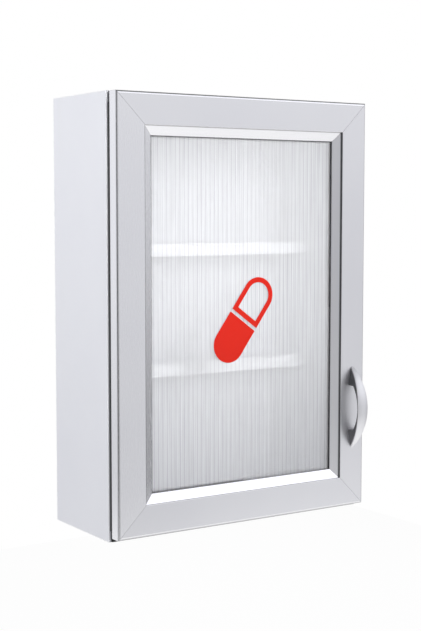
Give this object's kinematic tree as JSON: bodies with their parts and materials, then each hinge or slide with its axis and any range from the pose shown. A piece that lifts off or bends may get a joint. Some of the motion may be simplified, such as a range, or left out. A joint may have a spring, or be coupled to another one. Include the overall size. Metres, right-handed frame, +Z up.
{
  "type": "lockable medicine cabinet",
  "caption": "Wall cabinet with a framed, ribbed translucent door on a continuous hinge, a cam lock in its side, a bow handle and two shelves.",
  "frame": {"origin": "centre of the four wall screw holes, on the wall plane (the back face)", "axes": "+X to the right as seen from the front, -Y to the front (the door faces -Y), +Z up"},
  "size_m": [0.3525, 0.1704, 0.5],
  "materials": {
    "laminated_board": "matt laminate",
    "white_board": "matt laminate",
    "edge_band": "matt",
    "beech": "bare",
    "rail_metal": "fine satin",
    "cast_block": "cast",
    "black_steel": "satin black",
    "zinc_steel": "zinc plated",
    "satin_nickel": "satin nickel",
    "black_rubber": "matt",
    "polycarbonate": "translucent",
    "red_film": "semi-gloss film",
    "white_plastic": "moulded",
    "dark_magnet": "dull"
  },
  "bodies": {
    "carcass": {"left_side_board": "laminated_board", "right_side_board": "laminated_board", "top_board": "laminated_board", "bottom_board": "laminated_board", "back_board": "white_board", "side_edge_bands": "edge_band", "end_edge_bands": "edge_band", "cross_edge_bands": "edge_band", "lower_shelf": "white_board", "upper_shelf": "white_board", "shelf_pins": "zinc_steel", "dowels": "beech", "connector_bolts": "zinc_steel", "eccentrics": "zinc_steel", "back_screws": "zinc_steel", "top_seal": "black_rubber", "bottom_seal": "black_rubber", "lock_side_seal": "black_rubber", "hinge_carcass_leaf": "black_steel", "hinge_pin": "black_steel", "hinge_carcass_screws": "black_steel", "catch_housing": "white_plastic", "catch_magnet": "dark_magnet", "catch_screws": "zinc_steel", "lock_barrel": "satin_nickel", "lock_nut": "zinc_steel"},
    "door": {"hinge_stile": "rail_metal", "handle_stile": "rail_metal", "top_rail": "rail_metal", "bottom_rail": "rail_metal", "corner_blocks": "cast_block", "sheet_gasket": "black_rubber", "ribbed_sheet": "polycarbonate", "panel_mark": "red_film", "pull_handle": "satin_nickel", "handle_screws": "zinc_steel", "hinge_door_leaf": "black_steel", "hinge_door_screws": "black_steel", "strike_plate": "zinc_steel", "strike_screw": "zinc_steel", "lock_keeper": "zinc_steel", "keeper_screws": "zinc_steel"},
    "lock_core": {"lock_plug": "satin_nickel", "locking_tongue": "zinc_steel", "tongue_screw": "zinc_steel"}
  },
  "joints": [
    {"name": "door_swing", "type": "hinge", "parent": "carcass", "child": "door", "pos_m": [-0.1728, -0.13, 0], "axis": [0, 0, -1], "range_deg": [0, 110]},
    {"name": "lock_turn", "type": "hinge", "parent": "carcass", "child": "lock_core", "pos_m": [0.165, -0.108, 0], "axis": [-1, 0, 0], "range_deg": [0, 90]}
  ]
}
